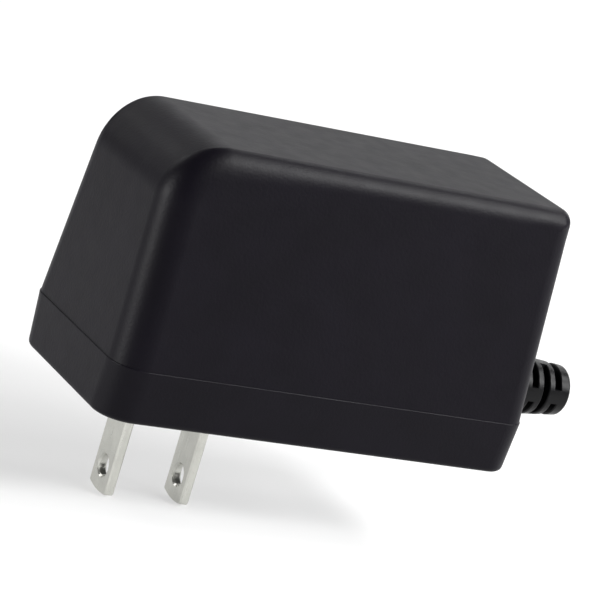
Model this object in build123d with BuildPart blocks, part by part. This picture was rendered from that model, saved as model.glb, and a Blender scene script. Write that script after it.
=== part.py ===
from build123d import *
import os
from math import cos, radians, sin, tan

# A plug-in power adapter: a tall tapered case of two shells, two flat blades
# and a ribbed strain relief, with its supply board and parts inside.
#
# Frame, in millimetres: the origin lies on the outlet face, midway between the
# blades. +Z points away from the outlet, so the blades point down. +X runs
# along the case to the end where the cord leaves. The case is symmetric in Y.

# Case, outside. The drafts are degrees a side, measured from the parting line.
case_length = 69.8
case_width = 36.1
case_height = 41.7
base_height = 8.5
blade_setback = 18.2
cover_side_draft = 5.6
base_side_draft = 6.7
crown_end_draft = 2.3
end_draft = 0.5
crown_radius = 9.3
cord_end_radius = 2.6
crown_corner_radius = 5.0
cord_corner_radius = 3.7
top_edge_radius = 2.3
bottom_edge_radius = 0.9
rim_step = 0.15
rim_edge_radius = 0.15

# Case, inside.
wall = 2.2
floor_thickness = 2.4
inner_corner_radius = 1.0
inner_edge_radius = 0.7
edge_room = 0.3
tongue_thickness = 1.0
tongue_height = 1.5
lip_clearance = 0.1
hold_rib_thickness = 1.0
hold_rib_reach = 1.0
hold_rib_height = 14.0
hold_rib_clearance = 0.1

# Blades, to the usual two-blade plug.
blade_spacing = 12.7
blade_width = 6.35
blade_thickness = 1.5
blade_length = 16.8
blade_tip_crown = 0.5
blade_corner_radius = 0.5
blade_bevel = 0.25
blade_hole_radius = 1.6
blade_hole_chamfer = 0.3
blade_hole_distance = 12.7
blade_fit = 0.05
blade_head_width = 8.6
blade_head_height = 1.2
blade_tail_width = 2.6
blade_tail_rise = 1.2
socket_margin = 1.3
socket_height = 1.6

# Strain relief, from the cord end of the case outwards.
strain_relief_rise = 1.0
collar_radius = 5.9
collar_length = 1.0
collar_edge_radius = 0.3
tail_root_radius = 5.3
tail_tip_radius = 4.0
tail_edge_radius = 0.6
cord_bore_radius = 2.0
slot_count = 6
slot_pitch = 2.3
slot_width = 1.0
tip_rib_thickness = 2.1
slot_floor_radius = 2.9
slot_web = 2.3
rib_edge_radius = 0.3
neck_size = 7.0
neck_corner_radius = 1.0
neck_fit = 0.1
inner_flange_size = 10.0
inner_flange_thickness = 2.0
inner_flange_corner_radius = 1.5

# Board and what it stands on.
board_thickness = 1.6
board_drop = 1.9
board_side_clearance = 0.6
board_corner_radius = 3.0
board_flange_gap = 1.0
post_radius = 2.0
post_inset = 2.6
cord_post_inset = 9.2
post_pin_radius = 0.9
post_pin_short = 0.1
hole_fit = 0.1
lead_radius = 0.35
lead_length = 1.2
disc_lead_pitch = 5.0
disc_stand = 0.8
sheet_thickness = 0.4
sheet_margin = 1.0
sheet_fit = 0.5

# Room kept between neighbouring parts on the board, and to the case.
part_gap = 0.8
wall_gap = 0.6
rib_gap = 0.5

# Input parts.
thermistor_radius = 4.2
thermistor_thickness = 3.8
fuse_length = 8.4
fuse_width = 4.0
fuse_height = 7.7
box_edge_radius = 0.5
varistor_radius = 4.2
varistor_thickness = 4.0
disc_edge_radius = 1.0
x_capacitor_length = 13.0
x_capacitor_width = 5.5
x_capacitor_height = 11.5
x_capacitor_pitch = 10.0
choke_radius = 6.0
choke_hole_radius = 2.8
choke_width = 5.0
choke_wire_build = 0.9
choke_winding_angle = 130.0
choke_lead_pitch = 10.0
bridge_length = 8.0
bridge_width = 6.2
bridge_height = 3.2
bridge_lead_pitch = 5.08
bridge_chamfer = 0.6
bulk_radius = 6.25
bulk_height = 22.0
bulk_lead_pitch = 5.0
can_edge_radius = 0.9
can_groove_height = 2.4
can_groove_radius = 0.45
can_vent_width = 0.4
can_vent_depth = 0.2

# Power transistor and output rectifier, each screwed to its own heatsink.
tab_width = 10.0
tab_thickness = 1.3
tab_height = 15.5
tab_hole_drop = 2.8
tab_hole_radius = 1.8
package_height = 9.2
package_thickness = 4.5
package_stand = 2.5
package_chamfer = 0.4
package_pitch = 2.54
package_leg_width = 0.7
package_leg_thickness = 0.45
heatsink_thickness = 1.5
heatsink_height = 21.0
heatsink_lip = 4.0
heatsink_pin_pitch = 8.0
screw_radius = 1.5
screw_head_radius = 2.7
screw_head_height = 2.0
screw_edge_radius = 0.5
screw_drive_width = 0.7
screw_drive_length = 3.2
screw_drive_depth = 0.8
screw_fit = 0.05

# Transformer: two E cores over an upright bobbin. Their length follows from the
# room between the case's walls, and their legs are the usual shares of it.
core_depth = 6.0
core_height = 18.0
core_back = 2.4
core_leg_share = 0.12
core_centre_share = 0.25
core_stand = 0.5
core_side_gap = 2.15
core_fit = 0.15
bobbin_wall = 0.8
bobbin_flange = 0.9
bobbin_rail = 2.4
winding_inset = 0.5
winding_corner_radius = 1.0
tape_thickness = 0.4
pins_a_side = 4
pin_pitch = 4.0
pin_depth = 2.0

# Output parts, and those under the board.
output_radius = 4.0
output_height = 14.0
output_lead_pitch = 3.5
output_choke_radius = 2.6
output_choke_rod_radius = 1.5
output_choke_height = 12.0
output_choke_margin = 1.2
output_choke_turns = 8
wire_groove_depth = 0.3
y_capacitor_radius = 4.2
y_capacitor_thickness = 3.6
chip_length = 4.9
chip_width = 3.9
chip_height = 1.4
chip_lead_pitch = 1.27
chip_lead_count = 4
optocoupler_length = 4.6
optocoupler_width = 6.5
optocoupler_height = 2.6
optocoupler_lead_pitch = 2.54
optocoupler_lead_count = 2
flat_lead_width = 0.42
flat_lead_reach = 0.9
flat_lead_thickness = 0.2

# Heights and the case's inner faces, worked out from the sizes above.
board_bottom = base_height - board_drop
board_top = board_bottom + board_thickness
strain_relief_height = base_height + strain_relief_rise
cord_end = case_length - blade_setback

# Ways of placing a solid: standing on its place, hanging under it, or standing
# with its back against it.
standing = (Align.CENTER, Align.CENTER, Align.MIN)
hanging = (Align.CENTER, Align.CENTER, Align.MAX)
backed = (Align.CENTER, Align.MIN, Align.MIN)


def case_limits(z, inset=0.0):
    """Low x, high x and half width of the case at height z, moved in by inset."""
    rise = abs(z - base_height)
    above = z > base_height
    side = cover_side_draft if above else base_side_draft
    crown = crown_end_draft if above else end_draft
    low_x = -blade_setback + rise * tan(radians(crown)) + inset
    high_x = cord_end - rise * tan(radians(end_draft)) - inset
    half_width = case_width / 2 - rise * tan(radians(side)) - inset
    return low_x, high_x, half_width


def case_outline(z, inset, crown_round, cord_round):
    """The case's outline at height z, moved in by inset, with its corner radii."""
    low_x, high_x, half_width = case_limits(z, inset)
    with BuildSketch(Plane.XY.offset(z)) as outline:
        with Locations(((low_x + high_x) / 2, 0)):
            Rectangle(high_x - low_x, 2 * half_width)
        fillet(outline.vertices().group_by(Axis.X)[0], crown_round)
        fillet(outline.vertices().group_by(Axis.X)[-1], cord_round)
    return outline.sketch


def corner_radii(inset):
    """Upright corner radii of the case, moved in by inset."""
    crown_round = max(crown_corner_radius - inset, inner_corner_radius)
    cord_round = max(cord_corner_radius - inset, inner_corner_radius)
    return crown_round, cord_round


def drafted_block(low, high, inset):
    """The case between two heights on one side of the parting line."""
    low_round, high_round = corner_radii(inset)
    with BuildPart() as block:
        loft([case_outline(z, inset, low_round, high_round) for z in (low, high)], ruled=True)
    return block.part


def cover_form(inset, low):
    """The cover's crowned form from a low height to its top, moved in by inset.

    A sharp drafted block gets the big crown round over one end, the small one
    over the other and a round all along its side edges. The drafted block with
    upright corner rounds then trims it.
    """
    top = case_height - inset
    crown_round = max(crown_radius - inset, inner_corner_radius)
    cord_round = max(cord_end_radius - inset, inner_corner_radius)
    edge_round = min(max(top_edge_radius - inset, inner_edge_radius), cord_round - edge_room)
    low_x, high_x, half_low = case_limits(low, inset)
    top_low_x, top_high_x, half_top = case_limits(top, inset)
    with BuildPart() as form:
        with BuildSketch(Plane.XY.offset(low)):
            with Locations(((low_x + high_x) / 2, 0)):
                Rectangle(high_x - low_x, 2 * half_low)
        with BuildSketch(Plane.XY.offset(top)):
            with Locations(((top_low_x + top_high_x) / 2, 0)):
                Rectangle(top_high_x - top_low_x, 2 * half_top)
        loft(ruled=True)
        top_edges = form.faces().sort_by(Axis.Z)[-1].edges().filter_by(Axis.Y)
        fillet(top_edges.sort_by(Axis.X)[0], crown_round)
        top_edges = form.faces().sort_by(Axis.Z)[-1].edges().filter_by(Axis.Y)
        fillet(top_edges.sort_by(Axis.X)[-1], cord_round)
        side_edges = form.faces().sort_by(Axis.Z)[-1].edges().filter_by(Axis.X)
        fillet(side_edges, edge_round)
        add(drafted_block(low, case_height, inset), mode=Mode.INTERSECT)
    return form.part


# The strain relief's places along X. Its collar stands on the base's rim.
collar_x = cord_end + rim_step
tail_x = collar_x + collar_length
last_slot_x = tail_x + (slot_count - 1) * slot_pitch
tail_tip_x = last_slot_x + slot_width + tip_rib_thickness
inner_flange_top = strain_relief_height + inner_flange_size / 2
inner_flange_x = case_limits(inner_flange_top, wall)[1] - inner_flange_thickness

# The board's outline, and the places that parts are set out from.
board_low_x = case_limits(board_bottom, wall)[0] + board_side_clearance
board_high_x = inner_flange_x - board_flange_gap
board_half_width = case_limits(board_bottom, wall)[2] - board_side_clearance
board_centre_x = (board_low_x + board_high_x) / 2
board_length = board_high_x - board_low_x
crown_post_y = board_half_width - post_inset
cord_post_y = board_half_width - cord_post_inset
post_points = [(board_low_x + post_inset, side * crown_post_y) for side in (-1, 1)]
post_points += [(board_high_x - post_inset, side * cord_post_y) for side in (-1, 1)]
socket_top = floor_thickness + socket_height
blade_centres = (-blade_spacing / 2, blade_spacing / 2)


def room(top):
    """Half the width that a part reaching up to height top may use."""
    return case_limits(top, wall)[2] - wall_gap


# Input parts, set out from the crown end of the board.
thermistor_x = board_low_x + part_gap + thermistor_thickness / 2
fuse_x = board_low_x + part_gap + fuse_length / 2
fuse_y = thermistor_radius + part_gap + fuse_width / 2
varistor_x = board_low_x + part_gap + varistor_radius
varistor_y = -(thermistor_radius + part_gap + varistor_thickness / 2)
input_high_x = max(fuse_x + fuse_length / 2, varistor_x + varistor_radius)
x_capacitor_x = input_high_x + part_gap + x_capacitor_length / 2
x_capacitor_y = part_gap + x_capacitor_width / 2 - room(board_top + x_capacitor_height)
choke_wound_radius = choke_radius + choke_wire_build
choke_x = input_high_x + part_gap + choke_wound_radius
choke_y = room(board_top + 2 * choke_wound_radius) - part_gap - choke_wire_build - choke_width / 2
choke_z = board_top + choke_wound_radius * sin(radians(choke_winding_angle / 2))
first_rib_x = x_capacitor_x + x_capacitor_length / 2 + rib_gap + hold_rib_thickness / 2
bulk_x = first_rib_x + hold_rib_thickness / 2 + rib_gap + bulk_radius
bulk_y = room(board_top + bulk_height) - bulk_radius

# Heatsinks stand along the near wall, and each package stands against one.
heatsink_top = board_top + heatsink_height
heatsink_y = -room(heatsink_top)
package_y = heatsink_y + heatsink_thickness
package_z = board_top + package_stand
tab_hole_z = package_z + tab_height - tab_hole_drop
transistor_x = bulk_x
rectifier_x = board_high_x - tab_width / 2
package_lead_y = package_y + package_thickness / 2

# Output parts, set out from the cord end of the board.
output_x = board_high_x - part_gap - output_radius
output_y = room(board_top + output_height) - output_radius
output_choke_y = output_y - output_radius - part_gap - output_choke_radius
second_rib_x = output_x - output_radius - rib_gap - hold_rib_thickness / 2

# The transformer fills the bay that the parts on both sides of it leave.
bay_low_x = bulk_x + max(bulk_radius, tab_width / 2) + part_gap
bay_high_x = min(second_rib_x - hold_rib_thickness / 2, rectifier_x - tab_width / 2) - rib_gap
transformer_x = (bay_low_x + bay_high_x) / 2
bobbin_length = bay_high_x - bay_low_x
core_bottom = board_top + core_stand
core_split = core_bottom + core_height / 2
core_top = core_bottom + core_height
window_low = core_bottom + core_back
window_high = core_top - core_back - core_fit
y_capacitor_y = room(board_top + disc_stand + 2 * y_capacitor_radius) - y_capacitor_thickness / 2
transformer_low_y = -room(core_top)
transformer_high_y = y_capacitor_y - y_capacitor_thickness / 2
transformer_y = (transformer_low_y + transformer_high_y) / 2
core_length = transformer_high_y - transformer_low_y - 2 * core_side_gap
core_leg = core_leg_share * core_length
core_centre = core_centre_share * core_length
bobbin_width = core_length - 2 * (core_leg + core_fit)

# Parts under the board.
chip_y = (package_lead_y + bulk_y) / 2


def lead_pair(x, y, pitch, across=False):
    """Two lead places on the board, pitch apart along X, or across it along Y."""
    half = pitch / 2
    return [(x, y - half), (x, y + half)] if across else [(x - half, y), (x + half, y)]


thermistor_leads = lead_pair(thermistor_x, 0, disc_lead_pitch, across=True)
fuse_leads = lead_pair(fuse_x, fuse_y, disc_lead_pitch)
varistor_leads = lead_pair(varistor_x, varistor_y, disc_lead_pitch)
x_capacitor_leads = lead_pair(x_capacitor_x, x_capacitor_y, x_capacitor_pitch)
y_capacitor_leads = lead_pair(transformer_x, y_capacitor_y, disc_lead_pitch)
choke_lead_reach = (choke_width + choke_wire_build) / 2
choke_leads = [
    point
    for side in (-1, 1)
    for point in lead_pair(choke_x, choke_y + side * choke_lead_reach, choke_lead_pitch)
]
bridge_leads = [
    point
    for side in (-1, 1)
    for point in lead_pair(0, side * bridge_lead_pitch / 2, bridge_lead_pitch)
]
bulk_leads = lead_pair(bulk_x, bulk_y, bulk_lead_pitch)
output_leads = lead_pair(output_x, output_y, output_lead_pitch)
output_choke_pitch = output_choke_rod_radius + output_choke_radius - wire_groove_depth
output_choke_leads = lead_pair(output_x, output_choke_y, output_choke_pitch)
package_leads = {
    x: [(x + step * package_pitch, package_lead_y) for step in (-1, 0, 1)]
    for x in (transistor_x, rectifier_x)
}
heatsink_pins = {
    x: lead_pair(x, heatsink_y + heatsink_thickness / 2, heatsink_pin_pitch)
    for x in (transistor_x, rectifier_x)
}
transformer_pin_points = [
    (
        transformer_x + side * (bobbin_length - bobbin_rail) / 2,
        transformer_y + (index - (pins_a_side - 1) / 2) * pin_pitch,
    )
    for side in (-1, 1)
    for index in range(pins_a_side)
]
board_leads = (
    thermistor_leads + fuse_leads + varistor_leads + x_capacitor_leads + y_capacitor_leads
    + choke_leads + bridge_leads + bulk_leads + output_leads + output_choke_leads
    + package_leads[transistor_x] + package_leads[rectifier_x]
    + heatsink_pins[transistor_x] + heatsink_pins[rectifier_x] + transformer_pin_points
)


def add_leads(points, top):
    """Adds round leads from under the board up to height top to the current part."""
    low = board_bottom - lead_length
    with Locations([(x, y, low) for x, y in points]):
        Cylinder(lead_radius, top - low, align=standing)


def save(piece, name):
    """Labels a finished piece and writes it to its own file."""
    piece.label = name
    export_step(piece, f"parts/{name}.step")


os.makedirs("parts", exist_ok=True)

# The neck hole through the cord end, shared by both shells.
with BuildPart() as neck_hole:
    with BuildSketch(Plane.YZ.offset(cord_end - 2 * wall)):
        with Locations((0, strain_relief_height)):
            RectangleRounded(neck_size + 2 * neck_fit, neck_size + 2 * neck_fit, neck_corner_radius)
    extrude(amount=4 * wall)

# Cover: the crowned shell, with a rebate around its rim for the base's tongue
# and four ribs that hold the board down.
rebate_inset = wall - tongue_thickness - lip_clearance
rebate_top = base_height + tongue_height + lip_clearance
rib_low = board_top + hold_rib_clearance
rib_high = rib_low + hold_rib_height
rib_y = board_half_width - hold_rib_reach
rim_y = case_limits(base_height, wall)[2] - lip_clearance
with BuildPart() as cover:
    add(cover_form(0, base_height))
    add(cover_form(wall, base_height), mode=Mode.SUBTRACT)
    extrude(
        case_outline(base_height, rebate_inset, *corner_radii(rebate_inset)),
        amount=rebate_top - base_height,
        mode=Mode.SUBTRACT,
    )
    for rib_x in (first_rib_x, second_rib_x):
        with BuildSketch(Plane.YZ.offset(rib_x - hold_rib_thickness / 2)):
            Polygon(
                (rib_y, rib_low),
                (rim_y, rib_low),
                (rim_y, rebate_top),
                (case_limits(rebate_top, wall / 2)[2], rebate_top),
                (case_limits(rib_high, wall / 2)[2], rib_high),
                (rib_y, rib_high - hold_rib_reach),
                align=None,
            )
            mirror(about=Plane.YZ)
        extrude(amount=hold_rib_thickness)
    add(neck_hole.part, mode=Mode.SUBTRACT)
save(cover.part, "cover")

# Base: the shallow shell with the outlet face, the blade sockets, the board's
# posts and the tongue that goes up into the cover.
tongue_inset = wall - tongue_thickness
with BuildPart() as base:
    add(drafted_block(0, base_height, -rim_step))
    fillet(base.faces().sort_by(Axis.Z)[0].edges(), bottom_edge_radius)
    fillet(base.faces().sort_by(Axis.Z)[-1].edges(), rim_edge_radius)
    extrude(
        case_outline(base_height, tongue_inset, *corner_radii(tongue_inset)),
        amount=tongue_height,
    )
    extrude(
        case_outline(base_height, wall, *corner_radii(wall)),
        amount=tongue_height,
        mode=Mode.SUBTRACT,
    )
    add(drafted_block(floor_thickness, base_height, wall), mode=Mode.SUBTRACT)
    with BuildSketch(Plane.XY.offset(floor_thickness)):
        with Locations([(x, 0) for x in blade_centres]):
            Rectangle(blade_thickness + 2 * socket_margin, blade_width + 2 * socket_margin)
    extrude(amount=socket_height)
    with BuildSketch():
        with Locations([(x, 0) for x in blade_centres]):
            Rectangle(blade_thickness + 2 * blade_fit, blade_width + 2 * blade_fit)
    extrude(amount=socket_top, mode=Mode.SUBTRACT)
    with Locations([(x, y, floor_thickness) for x, y in post_points]):
        Cylinder(post_radius, board_bottom - floor_thickness, align=standing)
    with Locations([(x, y, board_bottom) for x, y in post_points]):
        Cylinder(post_pin_radius, board_thickness - post_pin_short, align=standing)
    add(neck_hole.part, mode=Mode.SUBTRACT)
save(base.part, "base")


def blade(x):
    """A flat blade centred on x, with its head on the socket and its tail in the board."""
    near_face = Plane.YZ.offset(x - blade_thickness / 2)
    side = blade_width / 2
    corner = blade_tip_crown - blade_length
    tail_low = socket_top + blade_head_height
    tail_top = board_top + blade_tail_rise
    with BuildPart() as piece:
        with BuildSketch(near_face) as outline:
            with BuildLine():
                Polyline((-side, corner), (-side, socket_top), (side, socket_top), (side, corner))
                ThreePointArc((side, corner), (0, -blade_length), (-side, corner))
            make_face()
            fillet(outline.vertices().group_by(Axis.Y)[0], blade_corner_radius)
        extrude(amount=blade_thickness)
        flats = piece.faces().filter_by(Axis.X)
        chamfer([edge for flat in flats for edge in flat.edges().sort_by(Axis.Z)[:-1]], blade_bevel)
        with BuildSketch(near_face):
            with Locations((0, socket_top + blade_head_height / 2)):
                Rectangle(blade_head_width, blade_head_height)
            with Locations((0, (tail_low + tail_top) / 2)):
                Rectangle(blade_tail_width, tail_top - tail_low)
        extrude(amount=blade_thickness)
        with BuildSketch(near_face):
            with Locations((0, -blade_hole_distance)):
                Circle(blade_hole_radius)
        extrude(amount=blade_thickness, mode=Mode.SUBTRACT)
        chamfer(piece.edges().filter_by(GeomType.CIRCLE).filter_by(
            lambda edge: abs(edge.radius - blade_hole_radius) < blade_fit), blade_hole_chamfer)
    return piece.part


with BuildPart() as line_blade:
    add(blade(-blade_spacing / 2))
save(line_blade.part, "line_blade")

with BuildPart() as neutral_blade:
    add(blade(blade_spacing / 2))
save(neutral_blade.part, "neutral_blade")


def on_cord_axis(x):
    """A place on the cord's axis at x, facing along +X."""
    return Locations(Plane(origin=(x, 0, strain_relief_height), z_dir=Axis.X.direction))


# Strain relief: a flange inside the case, a square neck through the wall, and
# outside it a collar and a tapered tail. The tail's slots are open above and
# below, then at the sides, in turns, so that it bends evenly.
with BuildPart() as strain_relief:
    with BuildSketch(Plane.YZ.offset(inner_flange_x)):
        with Locations((0, strain_relief_height)):
            RectangleRounded(inner_flange_size, inner_flange_size, inner_flange_corner_radius)
    extrude(amount=inner_flange_thickness)
    with BuildSketch(Plane.YZ.offset(inner_flange_x)):
        with Locations((0, strain_relief_height)):
            RectangleRounded(neck_size, neck_size, neck_corner_radius)
    extrude(amount=collar_x - inner_flange_x)
    with on_cord_axis(tail_x):
        Cone(tail_root_radius, tail_tip_radius, tail_tip_x - tail_x, align=standing)
    fillet(strain_relief.faces().sort_by(Axis.X)[-1].edges(), tail_edge_radius)
    with on_cord_axis(collar_x):
        Cylinder(collar_radius, collar_length, align=standing)
    collar_rims = strain_relief.edges().filter_by(GeomType.CIRCLE).sort_by(SortBy.RADIUS)[-2:]
    fillet(collar_rims.sort_by(Axis.X)[-1], collar_edge_radius)
    for index in range(slot_count):
        web_turn = 0 if (slot_count - index) % 2 else 90
        with BuildSketch(Plane.YZ.offset(tail_x + index * slot_pitch)):
            with Locations((0, strain_relief_height)):
                Circle(collar_radius)
                Circle(slot_floor_radius, mode=Mode.SUBTRACT)
                Rectangle(2 * collar_radius, slot_web, rotation=web_turn, mode=Mode.SUBTRACT)
        extrude(amount=slot_width, mode=Mode.SUBTRACT)
    slot_edges = strain_relief.edges().filter_by(GeomType.CIRCLE).filter_by_position(
        Axis.X, tail_x + slot_width / 2, last_slot_x + slot_width + tip_rib_thickness / 2
    )
    fillet([edge for edge in slot_edges if edge.radius > tail_tip_radius], rib_edge_radius)
    with on_cord_axis(inner_flange_x):
        Cylinder(cord_bore_radius, tail_tip_x - inner_flange_x, align=standing, mode=Mode.SUBTRACT)
save(strain_relief.part, "strain_relief")

# Circuit board, with its holes for the posts, the blade tails and the leads.
with BuildPart() as circuit_board:
    with BuildSketch(Plane.XY.offset(board_bottom)):
        with Locations((board_centre_x, 0)):
            RectangleRounded(board_length, 2 * board_half_width, board_corner_radius)
        with Locations([(x, 0) for x in blade_centres]):
            Rectangle(
                blade_thickness + 2 * hole_fit, blade_tail_width + 2 * hole_fit, mode=Mode.SUBTRACT
            )
        with Locations(post_points):
            Circle(post_pin_radius + hole_fit, mode=Mode.SUBTRACT)
        with Locations(board_leads):
            Circle(lead_radius + hole_fit, mode=Mode.SUBTRACT)
    extrude(amount=board_thickness)
save(circuit_board.part, "circuit_board")

# Insulating sheet on the floor, cut out around the sockets and the posts.
sheet_low_x, sheet_high_x, sheet_half_width = case_limits(floor_thickness, wall + sheet_margin)
with BuildPart() as insulating_sheet:
    with BuildSketch(Plane.XY.offset(floor_thickness)):
        with Locations(((sheet_low_x + sheet_high_x) / 2, 0)):
            RectangleRounded(sheet_high_x - sheet_low_x, 2 * sheet_half_width, board_corner_radius)
        with Locations([(x, 0) for x in blade_centres]):
            Rectangle(
                blade_thickness + 2 * (socket_margin + sheet_fit),
                blade_width + 2 * (socket_margin + sheet_fit),
                mode=Mode.SUBTRACT,
            )
        with Locations(post_points):
            Circle(post_radius + sheet_fit, mode=Mode.SUBTRACT)
    extrude(amount=sheet_thickness)
save(insulating_sheet.part, "insulating_sheet")


def box(x, y, length, width, height, leads):
    """A box-shaped part standing on the board, rounded all but underneath."""
    with BuildPart() as piece:
        with Locations((x, y, board_top)):
            Box(length, width, height, align=standing)
        fillet(piece.edges().sort_by(Axis.Z)[4:], box_edge_radius)
        add_leads(leads, board_top)
    return piece.part


def disc(x, y, radius, thickness, leads, facing):
    """A coated disc held up by its two leads, with its flats facing along an axis."""
    height = board_top + disc_stand + radius
    with BuildPart() as piece:
        with Locations(Plane(origin=(x, y, height), z_dir=facing.direction)):
            Cylinder(radius, thickness)
        fillet(piece.edges().filter_by(GeomType.CIRCLE), disc_edge_radius)
        add_leads(leads, height)
    return piece.part


def can(x, y, radius, height, leads):
    """A can capacitor with a groove near the board and a vent cross on top."""
    with BuildPart() as piece:
        with Locations((x, y, board_top)):
            Cylinder(radius, height, align=standing)
        fillet(piece.faces().sort_by(Axis.Z)[-1].edges(), can_edge_radius)
        with Locations((x, y, board_top + can_groove_height)):
            Torus(radius, can_groove_radius, mode=Mode.SUBTRACT)
        with Locations((x, y, board_top + height)):
            Box(radius, can_vent_width, can_vent_depth, align=hanging, mode=Mode.SUBTRACT)
            Box(can_vent_width, radius, can_vent_depth, align=hanging, mode=Mode.SUBTRACT)
        add_leads(leads, board_top)
    return piece.part


with BuildPart() as fuse:
    add(box(fuse_x, fuse_y, fuse_length, fuse_width, fuse_height, fuse_leads))
save(fuse.part, "fuse")

with BuildPart() as inrush_thermistor:
    add(disc(thermistor_x, 0, thermistor_radius, thermistor_thickness, thermistor_leads, Axis.X))
save(inrush_thermistor.part, "inrush_thermistor")

with BuildPart() as varistor:
    add(disc(varistor_x, varistor_y, varistor_radius, varistor_thickness, varistor_leads, Axis.Y))
save(varistor.part, "varistor")

with BuildPart() as x_capacitor:
    add(box(x_capacitor_x, x_capacitor_y, x_capacitor_length, x_capacitor_width,
            x_capacitor_height, x_capacitor_leads))
save(x_capacitor.part, "x_capacitor")

# Common-mode choke: a ring core on edge with a winding around each side. It
# stands on the lower ends of its windings.
choke_plane = Plane.XZ.offset(-choke_y)
wedge_reach = 2 * choke_radius
wedge_across = wedge_reach * cos(radians(choke_winding_angle / 2))
wedge_up = wedge_reach * sin(radians(choke_winding_angle / 2))
with BuildPart() as choke_core:
    with BuildSketch(choke_plane):
        with Locations((choke_x, choke_z)):
            Circle(choke_radius)
            Circle(choke_hole_radius, mode=Mode.SUBTRACT)
    extrude(amount=choke_width / 2, both=True)
save(choke_core.part, "choke_core")

with BuildPart() as choke_windings:
    with BuildSketch(choke_plane):
        with Locations((choke_x, choke_z)):
            for side in (-1, 1):
                Polygon(
                    (0, 0),
                    (side * wedge_across, wedge_up),
                    (side * wedge_reach, wedge_up),
                    (side * wedge_reach, -wedge_up),
                    (side * wedge_across, -wedge_up),
                    align=None,
                )
            Circle(choke_wound_radius, mode=Mode.INTERSECT)
            Circle(choke_hole_radius - choke_wire_build, mode=Mode.SUBTRACT)
    extrude(amount=choke_width / 2 + choke_wire_build, both=True)
    add(choke_core.part, mode=Mode.SUBTRACT)
    add_leads(choke_leads, choke_z - choke_radius / 2)
save(choke_windings.part, "choke_windings")

with BuildPart() as bridge_rectifier:
    with Locations((0, 0, board_top)):
        Box(bridge_length, bridge_width, bridge_height, align=standing)
    top_edges = bridge_rectifier.faces().sort_by(Axis.Z)[-1].edges()
    chamfer(top_edges.sort_by(Axis.Y)[0], bridge_chamfer)
    add_leads(bridge_leads, board_top)
save(bridge_rectifier.part, "bridge_rectifier")

with BuildPart() as bulk_capacitor:
    add(can(bulk_x, bulk_y, bulk_radius, bulk_height, bulk_leads))
save(bulk_capacitor.part, "bulk_capacitor")


def package(x):
    """A three-leg power package with its tab flat against its heatsink."""
    leg_bottom = board_bottom - lead_length
    with BuildPart() as piece:
        with Locations((x, package_y, package_z)):
            Box(tab_width, package_thickness, package_height, align=backed)
        chamfer(piece.faces().sort_by(Axis.Y)[-1].edges(), package_chamfer)
        with Locations((x, package_y, package_z)):
            Box(tab_width, tab_thickness, tab_height, align=backed)
        with BuildSketch(Plane.XZ.offset(-package_y)):
            with Locations((x, tab_hole_z)):
                Circle(tab_hole_radius)
        extrude(amount=-tab_thickness, mode=Mode.SUBTRACT)
        with Locations([(leg_x, leg_y, leg_bottom) for leg_x, leg_y in package_leads[x]]):
            Box(package_leg_width, package_leg_thickness, package_z - leg_bottom, align=standing)
    return piece.part


def heatsink(x):
    """A bent heatsink on two pins, its lip reaching over the package."""
    with BuildPart() as piece:
        with Locations((x, heatsink_y, board_top)):
            Box(tab_width, heatsink_thickness, heatsink_height, align=backed)
        with Locations((x, heatsink_y, heatsink_top - heatsink_thickness)):
            Box(tab_width, heatsink_lip, heatsink_thickness, align=backed)
        with BuildSketch(Plane.XZ.offset(-heatsink_y)):
            with Locations((x, tab_hole_z)):
                Circle(screw_radius + screw_fit)
        extrude(amount=-heatsink_thickness, mode=Mode.SUBTRACT)
        add_leads(heatsink_pins[x], board_top)
    return piece.part


with BuildPart() as switching_transistor:
    add(package(transistor_x))
save(switching_transistor.part, "switching_transistor")

with BuildPart() as primary_heatsink:
    add(heatsink(transistor_x))
save(primary_heatsink.part, "primary_heatsink")

with BuildPart() as output_diode:
    add(package(rectifier_x))
save(output_diode.part, "output_diode")

with BuildPart() as secondary_heatsink:
    add(heatsink(rectifier_x))
save(secondary_heatsink.part, "secondary_heatsink")

# The two screws, one through each tab into its heatsink.
screw_seat = Plane.XZ.offset(-(package_y + tab_thickness))
screw_points = [(transistor_x, tab_hole_z), (rectifier_x, tab_hole_z)]
with BuildPart() as heatsink_screws:
    with BuildSketch(screw_seat):
        with Locations(screw_points):
            Circle(screw_head_radius)
    extrude(amount=-screw_head_height)
    fillet(heatsink_screws.faces().group_by(Axis.Y)[-1].edges(), screw_edge_radius)
    with BuildSketch(screw_seat):
        with Locations(screw_points):
            Circle(screw_radius)
    extrude(amount=tab_thickness + heatsink_thickness)
    with BuildSketch(screw_seat.offset(-screw_head_height)):
        with Locations(screw_points):
            Rectangle(screw_drive_length, screw_drive_width)
            Rectangle(screw_drive_width, screw_drive_length)
    extrude(amount=screw_drive_depth, mode=Mode.SUBTRACT)
save(heatsink_screws.part, "heatsink_screws")

# Transformer windings fill the bobbin as far as its nearer flange edge lets them.
window_width = (core_length - core_centre) / 2 - core_leg
window_y = (core_centre + window_width) / 2
tube_length = core_depth + 2 * (core_fit + bobbin_wall)
tube_width = core_centre + 2 * (core_fit + bobbin_wall)
winding_low = window_low + bobbin_flange
winding_high = window_high - bobbin_flange
flange_reach = min(bobbin_length - tube_length, bobbin_width - tube_width) / 2
winding_build = flange_reach - winding_inset - tape_thickness


def e_core(back_outside, back_inside):
    """One E core, its legs reaching from its back to the split between the cores."""
    with BuildPart() as piece:
        with BuildSketch(Plane.YZ.offset(transformer_x - core_depth / 2)):
            with Locations((transformer_y, (back_outside + core_split) / 2)):
                Rectangle(core_length, abs(core_split - back_outside))
            with Locations([
                (transformer_y + side * window_y, (back_inside + core_split) / 2)
                for side in (-1, 1)
            ]):
                Rectangle(window_width, abs(core_split - back_inside), mode=Mode.SUBTRACT)
        extrude(amount=core_depth)
    return piece.part


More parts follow.
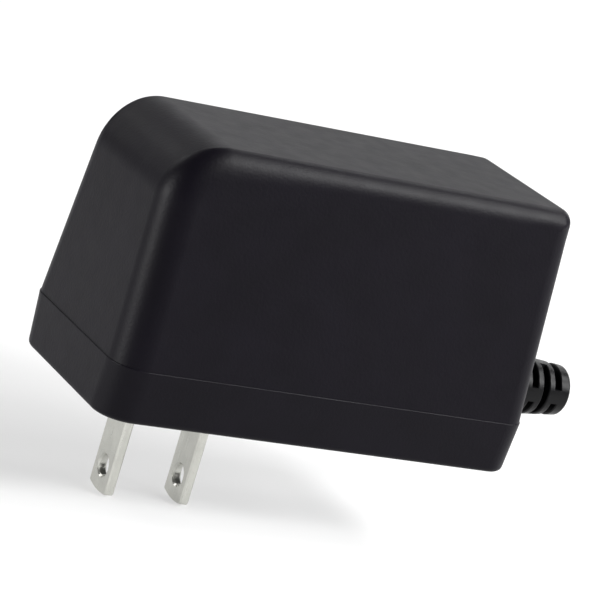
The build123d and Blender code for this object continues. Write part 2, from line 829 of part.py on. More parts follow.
def winding_layer(inner_build, outer_build):
    """A rounded sleeve around the bobbin's tube, between two depths of winding."""
    with BuildPart() as piece:
        with BuildSketch(Plane.XY.offset(winding_low)):
            with Locations((transformer_x, transformer_y)):
                RectangleRounded(
                    tube_length + 2 * outer_build, tube_width + 2 * outer_build, winding_corner_radius
                )
                if inner_build:
                    RectangleRounded(
                        tube_length + 2 * inner_build,
                        tube_width + 2 * inner_build,
                        winding_corner_radius,
                        mode=Mode.SUBTRACT,
                    )
                else:
                    Rectangle(tube_length, tube_width, mode=Mode.SUBTRACT)
        extrude(amount=winding_high - winding_low)
    return piece.part


with BuildPart() as transformer_lower_core:
    add(e_core(core_bottom, window_low))
save(transformer_lower_core.part, "transformer_lower_core")

with BuildPart() as transformer_upper_core:
    add(e_core(core_top, window_high + core_fit))
save(transformer_upper_core.part, "transformer_upper_core")

with BuildPart() as transformer_bobbin:
    with Locations((transformer_x, transformer_y, window_low)):
        Box(bobbin_length, bobbin_width, bobbin_flange, align=standing)
        Box(tube_length, tube_width, window_high - window_low, align=standing)
    with Locations((transformer_x, transformer_y, winding_high)):
        Box(bobbin_length, bobbin_width, bobbin_flange, align=standing)
    with Locations([
        (transformer_x + side * (bobbin_length - bobbin_rail) / 2, transformer_y, board_top)
        for side in (-1, 1)
    ]):
        Box(bobbin_rail, bobbin_width, window_low - board_top, align=standing)
    with Locations((transformer_x, transformer_y, window_low)):
        Box(
            core_depth + 2 * core_fit,
            core_centre + 2 * core_fit,
            window_high - window_low,
            align=standing,
            mode=Mode.SUBTRACT,
        )
    with Locations([(x, y, board_top) for x, y in transformer_pin_points]):
        Cylinder(lead_radius, pin_depth, align=standing, mode=Mode.SUBTRACT)
save(transformer_bobbin.part, "transformer_bobbin")

with BuildPart() as transformer_pins:
    add_leads(transformer_pin_points, board_top + pin_depth)
save(transformer_pins.part, "transformer_pins")

with BuildPart() as transformer_winding:
    add(winding_layer(0, winding_build))
save(transformer_winding.part, "transformer_winding")

with BuildPart() as transformer_tape:
    add(winding_layer(winding_build, winding_build + tape_thickness))
save(transformer_tape.part, "transformer_tape")

with BuildPart() as y_capacitor:
    add(disc(transformer_x, y_capacitor_y, y_capacitor_radius, y_capacitor_thickness,
             y_capacitor_leads, Axis.Y))
save(y_capacitor.part, "y_capacitor")


def flat_chip(x, y, turn, length, width, height, pitch, lead_count):
    """A flat package under the board, with the same number of leads along two sides."""
    with BuildPart() as piece:
        with Locations(Location((x, y, board_bottom), (0, 0, turn))):
            Box(length, width, height, align=hanging)
            with GridLocations(pitch, width + flat_lead_reach, lead_count, 2):
                Box(flat_lead_width, flat_lead_reach, flat_lead_thickness, align=hanging)
    return piece.part


with BuildPart() as controller_chip:
    add(flat_chip(transistor_x, chip_y, 0, chip_length, chip_width, chip_height,
                  chip_lead_pitch, chip_lead_count))
save(controller_chip.part, "controller_chip")

with BuildPart() as optocoupler:
    add(flat_chip(transformer_x, transformer_y, 90, optocoupler_length, optocoupler_width,
                  optocoupler_height, optocoupler_lead_pitch, optocoupler_lead_count))
save(optocoupler.part, "optocoupler")

with BuildPart() as output_capacitor:
    add(can(output_x, output_y, output_radius, output_height, output_leads))
save(output_capacitor.part, "output_capacitor")

# Output choke: a rod on end with one layer of wire, its turns shown by grooves.
turns_low = board_top + output_choke_margin
turns_high = board_top + output_choke_height - output_choke_margin
turn_height = (turns_high - turns_low) / output_choke_turns
with BuildPart() as output_choke_core:
    with Locations((output_x, output_choke_y, board_top)):
        Cylinder(output_choke_rod_radius, output_choke_height, align=standing)
save(output_choke_core.part, "output_choke_core")

groove_radius = output_choke_radius - wire_groove_depth
turn_profile = [(output_choke_rod_radius, turns_low), (groove_radius, turns_low)]
for turn in range(output_choke_turns):
    turn_profile.append((output_choke_radius, turns_low + (turn + 0.5) * turn_height))
    turn_profile.append((groove_radius, turns_low + (turn + 1) * turn_height))
turn_profile.append((output_choke_rod_radius, turns_high))
rod_axis = Axis((output_x, output_choke_y, 0), (0, 0, 1))
with BuildPart() as output_choke_winding:
    with BuildSketch(Plane.XZ.offset(-output_choke_y)):
        Polygon(*[(output_x + radius, height) for radius, height in turn_profile], align=None)
    revolve(axis=rod_axis)
    add_leads(output_choke_leads, turns_low + wire_groove_depth)
save(output_choke_winding.part, "output_choke_winding")
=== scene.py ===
# %% [markdown]
# # A plug-in power adapter
#
# The real object is a tall black moulded case that hangs on a wall outlet by its two blades, with a
# ribbed tail where its cord leaves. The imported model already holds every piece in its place, so this
# script gives each one its finish, works out the cover's outside anew with softer rounds, and sets up
# the floor, the light and the camera.

import math

import bmesh
import bpy
import numpy as np
from mathutils import Matrix, Quaternion, Vector


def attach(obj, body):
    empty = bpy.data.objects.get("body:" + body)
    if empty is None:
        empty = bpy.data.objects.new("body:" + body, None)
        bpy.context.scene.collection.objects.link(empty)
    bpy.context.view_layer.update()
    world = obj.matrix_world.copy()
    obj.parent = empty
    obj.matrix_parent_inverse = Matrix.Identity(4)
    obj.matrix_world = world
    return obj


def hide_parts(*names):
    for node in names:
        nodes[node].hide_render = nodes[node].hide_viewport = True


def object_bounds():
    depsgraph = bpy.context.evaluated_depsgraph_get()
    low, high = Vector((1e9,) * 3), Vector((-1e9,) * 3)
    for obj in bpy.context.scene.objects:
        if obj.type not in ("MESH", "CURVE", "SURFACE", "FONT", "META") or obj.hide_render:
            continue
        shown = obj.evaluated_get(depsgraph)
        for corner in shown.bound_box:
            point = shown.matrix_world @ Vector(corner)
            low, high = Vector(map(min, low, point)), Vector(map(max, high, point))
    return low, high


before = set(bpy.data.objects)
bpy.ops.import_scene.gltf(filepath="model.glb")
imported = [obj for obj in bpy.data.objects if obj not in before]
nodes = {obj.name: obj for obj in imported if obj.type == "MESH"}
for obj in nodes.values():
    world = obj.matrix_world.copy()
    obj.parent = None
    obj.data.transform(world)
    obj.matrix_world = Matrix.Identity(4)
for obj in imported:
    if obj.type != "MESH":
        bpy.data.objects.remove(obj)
model_box = [list(corner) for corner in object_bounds()]
print("nodes", len(nodes), "box", model_box)

# %% [markdown]
# ## A finish that is never one flat colour
#
# Moulded plastic, coated parts and plated metal all vary a little: the pigment clouds, the mould's
# texture breaks the gloss, and a thumb leaves one patch smoother than the next. It could be painted
# by hand on an unwrapped mesh. Here noise read from Object coordinates does it, because it needs no
# unwrapping, stays still when the camera moves, and its sizes can be given in millimetres.

# %% Helpers for finishes
MM = 0.001
FIELD_LOW = 0.3
FIELD_HIGH = 0.7
CLOUD_DETAIL = 3
GLOSS_DETAIL = 2
GRAIN_DETAIL = 1
PATCHES_PER_CLOUD = 3


def noise_at(tree, size_mm, detail, places=None):
    """A noise field whose grains are size_mm across, read at places (Object coordinates)."""
    noise = tree.nodes.new("ShaderNodeTexNoise")
    noise.inputs["Scale"].default_value = 1 / (size_mm * MM)
    noise.inputs["Detail"].default_value = detail
    if places is None:
        places = tree.nodes.new("ShaderNodeTexCoord").outputs["Object"]
    tree.links.new(places, noise.inputs["Vector"])
    return noise.outputs["Fac"]


def spread(tree, field, low, high):
    """The field's middle part, from FIELD_LOW to FIELD_HIGH, stretched to run from low to high."""
    ramp = tree.nodes.new("ShaderNodeMapRange")
    ramp.inputs["From Min"].default_value = FIELD_LOW
    ramp.inputs["From Max"].default_value = FIELD_HIGH
    ramp.inputs["To Min"].default_value = low
    ramp.inputs["To Max"].default_value = high
    tree.links.new(field, ramp.inputs["Value"])
    return ramp.outputs["Result"]


def between(tree, field, dark, light):
    """A colour that runs from dark to light with the field."""
    mix = tree.nodes.new("ShaderNodeMix")
    mix.data_type = "RGBA"
    mix.inputs["A"].default_value = (*dark, 1)
    mix.inputs["B"].default_value = (*light, 1)
    tree.links.new(field, mix.inputs["Factor"])
    return mix.outputs["Result"]


def bumped(tree, shader, field, height_mm):
    """Raises the surface by up to height_mm along the field."""
    bump = tree.nodes.new("ShaderNodeBump")
    bump.inputs["Distance"].default_value = height_mm * MM
    tree.links.new(field, bump.inputs["Height"])
    tree.links.new(bump.outputs["Normal"], shader.inputs["Normal"])


def blank(name, metal):
    """A new material, its node tree and its shader."""
    material = bpy.data.materials.new(name)
    material.use_nodes = True
    tree = material.node_tree
    shader = tree.nodes["Principled BSDF"]
    shader.inputs["Metallic"].default_value = metal
    return material, tree, shader


def finish(name, colour, vary, rough, grain_mm, height_mm, cloud_mm, metal=0.0, **sockets):
    """A finish from three noise fields: clouds, gloss and grains.

    The colour varies by the share vary over clouds cloud_mm wide. The roughness runs between the two
    values of rough over patches a third as wide. Grains grain_mm across stand height_mm proud. Any
    other socket of the shader is given by its name.
    """
    material, tree, shader = blank(name, metal)
    for socket, value in sockets.items():
        shader.inputs[socket.replace("_", " ")].default_value = value
    clouds = noise_at(tree, cloud_mm, CLOUD_DETAIL)
    dark = [channel * (1 - vary) for channel in colour]
    light = [min(1, channel * (1 + vary)) for channel in colour]
    tree.links.new(between(tree, spread(tree, clouds, 0, 1), dark, light), shader.inputs["Base Color"])
    gloss = noise_at(tree, cloud_mm / PATCHES_PER_CLOUD, GLOSS_DETAIL)
    tree.links.new(spread(tree, gloss, *rough), shader.inputs["Roughness"])
    bumped(tree, shader, noise_at(tree, grain_mm, GRAIN_DETAIL), height_mm)
    return material


def dress(material, *names):
    """Gives CAD nodes a finish by way of their own material slots."""
    for name in names:
        slots = nodes[name].data.materials
        if not slots:
            slots.append(material)
        for index in range(len(slots)):
            slots[index] = material
    print(material.name, "on", ", ".join(names))


# %% [markdown]
# ## The case
#
# The two shells are moulded in the same near-black plastic, with a trace of blue and red in it. The
# mould was spark-eroded to a fine matt texture, which hides sink marks and finger prints. Modelling
# every grain would take millions of faces. Here the roughness stands for the finest grains, and a
# bump of grains under half a millimetre across breaks up what still shines. The pigment and the
# roughness drift over patches some millimetres wide, as they do where the plastic cooled unevenly.

# %% Case plastic
case_finish = finish(
    "case_plastic", (0.0036, 0.0029, 0.0053), vary=0.15, rough=(0.425, 0.465),
    grain_mm=0.42, height_mm=0.022, cloud_mm=9.0, Specular_IOR_Level=0.10,
)
dress(case_finish, "cover", "base")

# %% [markdown]
# ## The cover's skin
#
# The cover of the real adapter has no crease anywhere: the big round over its crown end, the upright
# corner and the softer round along its top run into one another like pulled clay. In a CAD model each
# round meets its neighbour at a thin line. Sculpting could wipe those lines away, but then no size
# would be true any more. So the outside is worked out again, in three steps.
#
# The first is a profile, in millimetres, that runs up the crown end, over the top and down the cord
# end. It starts and ends below the parting line, so that the face where the two shells meet stays the
# CAD model's own.

# %% The cover's profile
PARTING_HEIGHT = 8.5
TOP_HEIGHT = 41.7
CROWN_END = -18.2
CORD_END = 51.6
HALF_WIDTH = 18.05
CROWN_DRAFT = math.radians(2.3)
CORD_DRAFT = math.radians(0.5)
SIDE_DRAFT = math.radians(5.6)
CROWN_ROUND = 9.3
CORD_ROUND = 2.6
SKIN_FOOT = 4.0
RUN_STEPS = (16, 24, 16)
TURN_STEPS = (56, 28)


def round_centre(end, out, radius):
    """Centre of the round between the top and an end whose outward direction is out.

    It lies a radius under the top and a radius inside the end's drafted line, measured square to
    that line.
    """
    height = TOP_HEIGHT - radius
    across = radius + out[1] * (height - PARTING_HEIGHT)
    return np.array([end - across / out[0], height])


def foot_of(end, out):
    """The point of an end's drafted line at the height of the skin's foot."""
    lean = out[1] * (SKIN_FOOT - PARTING_HEIGHT) / out[0]
    return np.array([end - lean, SKIN_FOOT])


def run(start, stop, out, count):
    """A straight run: points stepped along the line, with one outward direction for all of them."""
    share = np.linspace(0, 1, count, endpoint=False)[:, None]
    return start + (stop - start) * share, np.repeat(out[None], count, 0)


def turn(centre, radius, start_angle, stop_angle, count):
    """A round: each point is the centre plus the radius times a direction that turns steadily."""
    angles = np.linspace(start_angle, stop_angle, count, endpoint=False)
    out = np.column_stack([np.cos(angles), np.sin(angles)])
    return centre + radius * out, out


def profile_over_the_top():
    """Feet (x, z) and outward directions of the cover's middle line: run, turn, run, turn, run."""
    crown_out = np.array([-math.cos(CROWN_DRAFT), math.sin(CROWN_DRAFT)])
    cord_out = np.array([math.cos(CORD_DRAFT), math.sin(CORD_DRAFT)])
    up = np.array([0.0, 1.0])
    crown_foot = foot_of(CROWN_END, crown_out)
    cord_foot = foot_of(CORD_END, cord_out)
    crown_centre = round_centre(CROWN_END, crown_out, CROWN_ROUND)
    cord_centre = round_centre(CORD_END, cord_out, CORD_ROUND)
    parts = [
        run(crown_foot, crown_centre + CROWN_ROUND * crown_out, crown_out, RUN_STEPS[0]),
        turn(crown_centre, CROWN_ROUND, math.pi - CROWN_DRAFT, math.pi / 2, TURN_STEPS[0]),
        run(crown_centre + CROWN_ROUND * up, cord_centre + CORD_ROUND * up, up, RUN_STEPS[1]),
        turn(cord_centre, CORD_ROUND, math.pi / 2, CORD_DRAFT, TURN_STEPS[1]),
        run(cord_centre + CORD_ROUND * cord_out, cord_foot, cord_out, RUN_STEPS[2]),
        (cord_foot[None], cord_out[None]),
    ]
    return [np.concatenate(column) for column in zip(*parts)]


profile_feet, profile_out = profile_over_the_top()
print("profile points", len(profile_feet))

# %% [markdown]
# The second step says how far the round along each edge of that profile reaches, in millimetres. One
# radius would do for a bent sheet. A moulding's round is wider where three faces meet, and along the
# top of this one it comes further down the side than it goes in. So each point of the profile has two
# reaches of its own, which change slowly from corner to corner.

# %% How far each round reaches
CROWN_CORNER = 5.0
TOP_ALONG = 2.3
TOP_DOWN = 3.0
CORD_TURN = 2.45
CORD_CORNER = 3.7
DOWN_RUN_OUT = 25.0
CORD_RUN_OUT = 9.0
CORD_GROWTH = 7.0
CORD_LEAD = CORD_GROWTH / 4
TURN_ROWS = np.cumsum([RUN_STEPS[0], TURN_STEPS[0], RUN_STEPS[1]])


def eased(share):
    """0 below 0, 1 above 1, and between them 3 s^2 - 2 s^3, which starts and ends level."""
    share = np.clip(share, 0, 1)
    return share * share * (3 - 2 * share)


def reaches(feet):
    """How far the edge's round reaches at each foot: along the profile's surface, and down the side.

    Both shrink over the crown round from the upright corner's reach to the top edge's, the one down
    the side more slowly. Just before the cord end that one draws in a little, and over that end's
    round both grow to its corner's. Each change is its full size times an eased share of the length.
    """
    steps = np.linalg.norm(np.diff(feet, axis=0), axis=1)
    length = np.concatenate([[0], np.cumsum(steps)])
    crown_start, crown_stop, cord_start = length[TURN_ROWS]
    over_crown = eased((length - crown_start) / (crown_stop - crown_start))
    past_crown = eased((length - crown_start) / (crown_stop + DOWN_RUN_OUT - crown_start))
    to_cord = eased((length - cord_start + CORD_RUN_OUT) / CORD_RUN_OUT)
    over_cord = eased((length - cord_start + CORD_LEAD) / CORD_GROWTH)
    along = CROWN_CORNER + (TOP_ALONG - CROWN_CORNER) * over_crown
    along += (CORD_CORNER - TOP_ALONG) * over_cord
    down = CROWN_CORNER + (TOP_DOWN - CROWN_CORNER) * past_crown
    down += (CORD_TURN - TOP_DOWN) * to_cord + (CORD_CORNER - CORD_TURN) * over_cord
    return along, down


reach_along, reach_down = reaches(profile_feet)
print("reach along", reach_along.min(), reach_along.max(), "down", reach_down.min(), reach_down.max())


# %% The skin
def half_skin(feet, outward, along, down, arc_steps=24, flat_steps=4):
    """One half of the skin, as columns from the middle line to the side: an array (rows, columns, 3).

    Each row has a sharp corner, where its line across the cover meets the drafted side. The round
    leaves that line a reach before the corner and comes down on the side a reach past it. Between
    the two it is a conic: the three points weighted by (1 - t)^2, 2wt(1 - t) and t^2 over their sum,
    with w the cosine of half the turn, so with equal reaches it is a circle. It touches both faces,
    so nothing creases however the reaches change.
    """
    out = np.column_stack([outward[:, 0], np.zeros(len(feet)), outward[:, 1]])
    side = np.array([0.0, math.cos(SIDE_DRAFT), math.sin(SIDE_DRAFT)])
    side_y = HALF_WIDTH - side[2] * (feet[:, 1] - PARTING_HEIGHT) / side[1]
    corner = np.column_stack([feet[:, 0], side_y, feet[:, 1]])
    inward = (out @ side)[:, None] * side - out
    inward /= np.linalg.norm(inward, axis=1)[:, None]
    leave = corner - along[:, None] * (0, 1, 0)
    land = corner + down[:, None] * inward
    w = np.cos(np.arccos(out @ side) / 2)[:, None]
    t = np.linspace(0, 1, arc_steps + 1)[None]
    weights = np.stack(np.broadcast_arrays((1 - t) ** 2, 2 * w * t * (1 - t), t ** 2), -1)
    weights /= weights.sum(-1, keepdims=True)
    arc = np.einsum("rtk,rkx->rtx", weights, np.stack([leave, corner, land], 1))
    flat = np.repeat(arc[:, :1], flat_steps, 1)
    flat[..., 1] *= np.arange(flat_steps) / flat_steps
    return np.concatenate([flat, arc], 1)


def closed_skin():
    """Vertices in metres and faces of the whole skin: the grid, a flat face each side, and a foot.

    The other half is the first with y turned round. Each row of the grid goes across the cover from
    side to side, so the faces between rows and columns come from shifting one array of numbers.
    """
    half = half_skin(profile_feet, profile_out, reach_along, reach_down)
    grid = np.concatenate([half[:, :0:-1] * (1, -1, 1), half], 1)
    number = np.arange(grid.shape[0] * grid.shape[1]).reshape(grid.shape[:2])
    quads = np.stack([number[:-1, :-1], number[1:, :-1], number[1:, 1:], number[:-1, 1:]], -1)
    flats = [number[::-1, 0], number[:, -1], np.concatenate([number[0], number[-1, ::-1]])]
    faces = quads.reshape(-1, 4).tolist() + [flat.tolist() for flat in flats]
    return grid.reshape(-1, 3) * MM, faces


skin_places, skin_faces = closed_skin()
print("skin vertices", len(skin_places), "faces", len(skin_faces))

# %% [markdown]
# The third step gives the skin an inside. That could be built up too, but the CAD model already has
# it: the hollow, the ribs, the rebate and the notch for the tail. So a copy of the CAD cover is
# swollen by about a tenth of a millimetre, enough to stand outside the skin, and cut to it. What the
# two have in common is the new cover, closed and hollow.

# %% Helpers for the cut
COPY_MERGE_MM = 0.001
CUT_MERGE_MM = 0.0002
SOFT_ANGLE = math.radians(24)


def open_edges(work):
    """How many edges of a mesh don't have exactly two faces."""
    return sum(1 for edge in work.edges if not edge.is_manifold)


def merged_copy(name):
    """A copy of a CAD node's mesh whose loose triangles are joined where their corners meet."""
    mesh = nodes[name].data.copy()
    work = bmesh.new()
    work.from_mesh(mesh)
    bmesh.ops.remove_doubles(work, verts=work.verts, dist=COPY_MERGE_MM * MM)
    print(name, "copied, open edges", open_edges(work))
    work.to_mesh(mesh)
    work.free()
    return mesh


def placed(name, mesh):
    """An object of the given mesh, standing at the origin."""
    piece = bpy.data.objects.new(name, mesh)
    bpy.context.scene.collection.objects.link(piece)
    return piece


def cut_to_skin(swollen_mesh, skin_mesh):
    """The mesh of what the swollen cover and the skin have in common. Both helper objects go again."""
    skin = placed("skin", skin_mesh)
    inside = placed("cover_inside", swollen_mesh)
    trim = inside.modifiers.new("trim", "BOOLEAN")
    trim.operation = "INTERSECT"
    trim.solver = "EXACT"
    trim.object = skin
    common = inside.evaluated_get(bpy.context.evaluated_depsgraph_get())
    shell_mesh = bpy.data.meshes.new_from_object(common)
    shell_mesh.name = "cover_shell"
    bpy.data.objects.remove(inside)
    bpy.data.objects.remove(skin)
    return shell_mesh


def soften(mesh):
    """Joins the corners that the cut left split, and shades smooth where faces turn under SOFT_ANGLE."""
    work = bmesh.new()
    work.from_mesh(mesh)
    bmesh.ops.triangulate(work, faces=work.faces)
    bmesh.ops.remove_doubles(work, verts=work.verts, dist=CUT_MERGE_MM * MM)
    for face in work.faces:
        face.smooth = True
    for edge in work.edges:
        edge.smooth = edge.calc_face_angle(math.pi) < SOFT_ANGLE
    print(mesh.name, "faces", len(work.faces), "open edges", open_edges(work))
    work.to_mesh(mesh)
    work.free()


# %% The cover, trimmed to its skin
PROUD = (1.003, 1.004, 1.003)
swollen = merged_copy("cover")
pivot = Vector(((CROWN_END + CORD_END) / 2, 0, PARTING_HEIGHT)) * MM
swollen.transform(Matrix.Translation(pivot) @ Matrix.Diagonal((*PROUD, 1)) @ Matrix.Translation(-pivot))
skin_mesh = bpy.data.meshes.new("skin")
skin_mesh.from_pydata(skin_places.tolist(), [], skin_faces)
cover_mesh = cut_to_skin(swollen, skin_mesh)
soften(cover_mesh)

# %% [markdown]
# The new cover takes the case's finish and the CAD cover's place. With plain smooth shading the small
# faces of a round tilt the shading of the big flat face beside them, which shows as a smudge. Cutting
# the flat faces finer would help. Weighted normals do it without more faces, because a big face
# counts for more.

# %% The cover's finish
cover_mesh.materials.clear()
cover_mesh.materials.append(case_finish)
cover_shell = placed("cover_shell", cover_mesh)
even = cover_shell.modifiers.new("even", "WEIGHTED_NORMAL")
even.keep_sharp = True
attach(cover_shell, "root")
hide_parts("cover")
print(cover_shell.name, "stands for cover")

# %% [markdown]
# ## The strain relief
#
# The tail is moulded in soft black PVC, a little glossier than the case, so its ribs catch the light
# along their rims. One black for both would be simpler, but gloss is all that tells the two materials
# apart.

# %% Strain relief rubber
tail_finish = finish(
    "soft_pvc", (0.003, 0.003, 0.0034), vary=0.12, rough=(0.30, 0.38),
    grain_mm=0.5, height_mm=0.010, cloud_mm=3.0, Specular_IOR_Level=0.13,
)
dress(tail_finish, "strain_relief")

# %% [markdown]
# ## The blades
#
# The blades are stamped from brass strip and nickel-plated. Nickel is a warm grey metal. Rolling
# leaves fine lines along the strip. A picture of brushed metal would have to be unwrapped on to each
# blade. Noise doesn't, and it turns into lines when it is drawn out along the blade.

# %% Nickel plate
PLATE_CLOUD_MM = 2.5
PLATE_CLOUD_DETAIL = 2
PLATE_LINE_DETAIL = 3
PLATE_LINE_HEIGHT_MM = 0.002
PLATE_DARK_SHARE = 0.9


def plated(name, colour, rough, line_mm, run_mm):
    """A plated, rolled metal: noise drawn out along Z into lines line_mm wide and run_mm long."""
    material, tree, shader = blank(name, metal=1.0)
    stretch = tree.nodes.new("ShaderNodeMapping")
    stretch.inputs["Scale"].default_value = (1, 1, line_mm / run_mm)
    tree.links.new(tree.nodes.new("ShaderNodeTexCoord").outputs["Object"], stretch.inputs["Vector"])
    lines = noise_at(tree, line_mm, PLATE_LINE_DETAIL, stretch.outputs["Vector"])
    clouds = noise_at(tree, PLATE_CLOUD_MM, PLATE_CLOUD_DETAIL)
    dark = [channel * PLATE_DARK_SHARE for channel in colour]
    tree.links.new(between(tree, spread(tree, clouds, 0, 1), dark, colour), shader.inputs["Base Color"])
    tree.links.new(spread(tree, lines, *rough), shader.inputs["Roughness"])
    bumped(tree, shader, lines, PLATE_LINE_HEIGHT_MM)
    return material


blade_finish = plated("nickel_plate", (0.615, 0.615, 0.57), rough=(0.25, 0.42), line_mm=0.12, run_mm=3.0)
dress(blade_finish, "line_blade", "neutral_blade")

# %% [markdown]
# ## What the case hides
#
# Nothing inside shows while the shells are closed, but the model comes apart, so each inner part has
# its real finish too: phenolic board, dipped discs, moulded boxes, sleeved cans, sintered cores. Each
# could have a material made by hand. One function does for all, and each row gives it a name, a
# colour, the share that it varies by, the range of roughness, the grains' size and height, and the
# clouds' size.

# %% Board and sheet
dress(finish("phenolic_board", (0.36, 0.22, 0.10), 0.18, (0.45, 0.6), 0.3, 0.01, 4.0), "circuit_board")
dress(finish("insulating_card", (0.70, 0.67, 0.58), 0.08, (0.7, 0.85), 0.15, 0.02, 3.0),
      "insulating_sheet")

# %% Dipped and moulded parts
dress(finish("green_dip", (0.03, 0.09, 0.05), 0.2, (0.35, 0.5), 0.8, 0.03, 2.0), "inrush_thermistor")
dress(finish("blue_dip", (0.03, 0.10, 0.42), 0.15, (0.22, 0.34), 0.9, 0.02, 2.0), "varistor")
dress(finish("pale_blue_dip", (0.05, 0.22, 0.50), 0.15, (0.22, 0.34), 0.9, 0.02, 2.0), "y_capacitor")
dress(finish("yellow_box", (0.74, 0.50, 0.06), 0.08, (0.25, 0.35), 0.6, 0.006, 4.0), "x_capacitor")
dress(finish("black_moulding", (0.03, 0.03, 0.032), 0.15, (0.4, 0.55), 0.2, 0.01, 2.0),
      "fuse", "bridge_rectifier", "switching_transistor", "output_diode", "controller_chip")
dress(finish("pale_moulding", (0.72, 0.71, 0.66), 0.06, (0.4, 0.5), 0.3, 0.006, 2.0), "optocoupler")
dress(finish("bobbin_phenolic", (0.035, 0.028, 0.024), 0.2, (0.45, 0.6), 0.3, 0.01, 3.0),
      "transformer_bobbin")

# %% Metals, cores and wire
dress(finish("dark_sleeve", (0.035, 0.035, 0.07), 0.12, (0.25, 0.35), 1.2, 0.01, 5.0),
      "bulk_capacitor", "output_capacitor")
dress(finish("mill_aluminium", (0.72, 0.72, 0.73), 0.06, (0.3, 0.45), 0.2, 0.004, 3.0, metal=1.0),
      "primary_heatsink", "secondary_heatsink")
dress(finish("zinc_plate", (0.62, 0.62, 0.60), 0.08, (0.25, 0.4), 0.15, 0.004, 1.5, metal=1.0),
      "heatsink_screws", "transformer_pins")
dress(finish("sintered_ferrite", (0.045, 0.045, 0.048), 0.2, (0.5, 0.7), 0.12, 0.01, 2.0),
      "transformer_lower_core", "transformer_upper_core", "choke_core", "output_choke_core")
dress(finish("enamelled_wire", (0.62, 0.24, 0.10), 0.15, (0.2, 0.35), 0.5, 0.02, 1.5, metal=1.0),
      "choke_windings", "transformer_winding", "output_choke_winding")
dress(finish("polyester_tape", (0.80, 0.60, 0.10), 0.08, (0.18, 0.3), 1.5, 0.01, 3.0), "transformer_tape")

# %% [markdown]
# ## The floor
#
# The adapter stands on its blades on a pale floor that runs out of view. The floor could be lit by
# boxes alone, but then the case would throw a heavy shadow. A floor that also glows a little, like a
# light table, keeps the shadow faint.

# %% Floor
FLOOR_SIZE = 1.5
FLOOR_GREY = 0.34
FLOOR_GLOW = 0.55


def floor_at(height, size):
    """A square of the given size centred on the origin, level at a height."""
    half = size / 2
    corners = np.array([(-half, -half), (half, -half), (half, half), (-half, half)])
    places = np.column_stack([corners, np.full(4, height)])
    mesh = bpy.data.meshes.new("floor")
    mesh.from_pydata(places.tolist(), [], [(0, 1, 2, 3)])
    return placed("floor", mesh)


blade_tips = model_box[0][2]
floor = floor_at(blade_tips, FLOOR_SIZE)
floor_finish = finish(
    "floor_paper", (FLOOR_GREY,) * 3, vary=0.01, rough=(0.8, 0.9), grain_mm=1.0, height_mm=0.01,
    cloud_mm=60.0, Emission_Color=(1, 1, 1, 1), Emission_Strength=FLOOR_GLOW, Specular_IOR_Level=0.2,
)
floor.data.materials.append(floor_finish)
print("floor", FLOOR_SIZE, "m wide, at height", blade_tips)

# %% [markdown]
# ## The room
#
# The camera sees a white backdrop behind the floor. A room that is white all round would do for most
# objects, but black plastic mirrors it and turns grey. So the world is white only for the rays that
# come straight from the camera, and dark for all others.

# %% World
ROOM_LIGHT = 0.0
BACKDROP = 1.0
bpy.context.scene.view_settings.view_transform = "Standard"
world = bpy.data.worlds.new("studio")
bpy.context.scene.world = world
world.use_nodes = True
room = world.node_tree
background = room.nodes["Background"]
background.inputs["Color"].default_value = (1, 1, 1, 1)
seen = room.nodes.new("ShaderNodeLightPath").outputs["Is Camera Ray"]
level = room.nodes.new("ShaderNodeMapRange")
level.inputs["To Min"].default_value = ROOM_LIGHT
level.inputs["To Max"].default_value = BACKDROP
room.links.new(seen, level.inputs["Value"])
room.links.new(level.outputs["Result"], background.inputs["Strength"])
print("room light", ROOM_LIGHT, "backdrop", BACKDROP)

# %% [markdown]
# ## The light
#
# Black plastic shows mostly what it mirrors, so the place of each soft box matters more than its
# power. One big box overhead would light every face alike, so each of these stands where a face or a
# round mirrors it. Two low ones beside the crown end draw the bright strip down the rounded corner.
# One in front draws the strip along the top edge. Those to the right give the face that looks at the
# camera its little light, those behind lay a sheen on the top, and two behind the crown end light its
# big round. The crown end itself mirrors the floor.

# %% Soft boxes
TARGET = Vector((0.020, 0.0, 0.015))
BOX_DISTANCE = 1.0


def bearing(azimuth, elevation):
    """The unit vector towards a bearing in degrees: azimuth 0 is -Y and 90 is +X, elevation 90 is +Z."""
    a, e = math.radians(azimuth), math.radians(elevation)
    return Vector((math.sin(a) * math.cos(e), -math.cos(a) * math.cos(e), math.sin(e)))


def soft_box(name, azimuth, elevation, width, height, power):
    """An area light, its sides in metres and its power in watts, at a bearing from the target."""
    back = bearing(azimuth, elevation)
    light = bpy.data.lights.new(name, "AREA")
    light.shape = "RECTANGLE"
    light.size, light.size_y = width, height
    light.energy = power
    holder = bpy.data.objects.new(name, light)
    holder.location = TARGET + back * BOX_DISTANCE
    holder.rotation_mode = "QUATERNION"
    holder.rotation_quaternion = (-back).to_track_quat("-Z", "Y")
    holder.visible_camera = False
    bpy.context.scene.collection.objects.link(holder)
    print(name, "power", power)


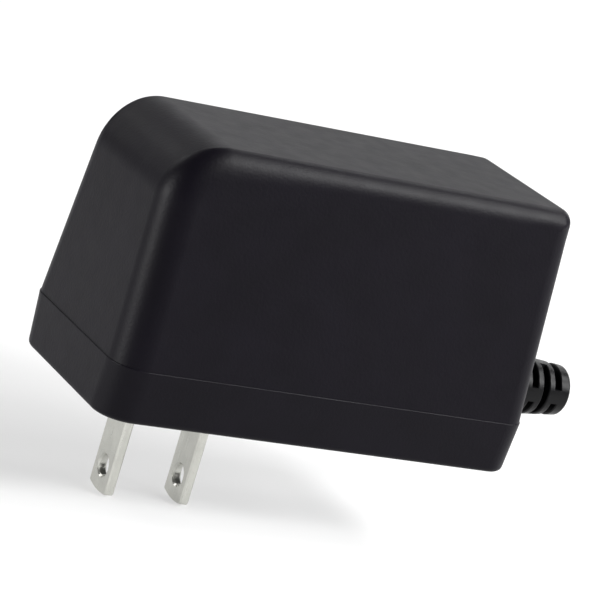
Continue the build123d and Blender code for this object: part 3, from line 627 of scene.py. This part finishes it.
soft_box("crown_side_box", -95, 5, 0.25, 0.16, 5.98)
soft_box("crown_front_box", -88, 4, 0.20, 0.14, 1.89)
soft_box("edge_box", 38, 40, 0.40, 0.30, 11.9)
soft_box("near_side_box", 62, 22, 0.40, 0.30, 6.0)
soft_box("high_box", 70, 50, 0.40, 0.30, 5.6)
soft_box("cord_side_low", 128, 14, 0.40, 0.20, 1.2)
soft_box("cord_side_high", 130, 45, 0.40, 0.30, 2.0)
soft_box("top_sheen_low", 150, 8, 0.40, 0.14, 0.16)
soft_box("top_sheen_middle", 150, 18, 0.40, 0.14, 0.18)
soft_box("top_sheen_high", 165, 26, 0.60, 0.20, 0.62)
soft_box("crown_round_low", -150, 14, 0.30, 0.25, 0.46)
soft_box("crown_round_high", -150, 35, 0.40, 0.30, 1.85)

# %% [markdown]
# ## The camera
#
# The photograph was taken with a long lens from the crown end's side, a little above, and with the
# camera turned about its own axis so that the case leans. The case could be tipped instead, but then
# it would no longer stand on its blades. The bearing, the turn and the distance were found by fitting
# the drawn outline of the case to the photograph.

# %% Camera
CAMERA_AZIMUTH = -30.2143
CAMERA_ELEVATION = 13.8693
CAMERA_ROLL = 17.0262
CAMERA_DISTANCE = 0.495
CAMERA_LENS = 194.4978
CAMERA_SENSOR = 36
CAMERA_NEAR = 0.01
CAMERA_FAR = 20
CAMERA_AIM = Vector((0.0195021, 0.0040266, 0.0163540))
camera_back = bearing(CAMERA_AZIMUTH, CAMERA_ELEVATION)
camera_data = bpy.data.cameras.new("camera")
camera_data.lens = CAMERA_LENS
camera_data.sensor_width = CAMERA_SENSOR
camera_data.clip_start = CAMERA_NEAR
camera_data.clip_end = CAMERA_FAR
camera = bpy.data.objects.new("camera", camera_data)
camera.location = CAMERA_AIM + camera_back * CAMERA_DISTANCE
camera.rotation_mode = "QUATERNION"
upright = (-camera_back).to_track_quat("-Z", "Y")
camera.rotation_quaternion = upright @ Quaternion((0, 0, 1), math.radians(CAMERA_ROLL))
bpy.context.scene.collection.objects.link(camera)
bpy.context.scene.camera = camera
print("camera at", tuple(round(place, 4) for place in camera.location))
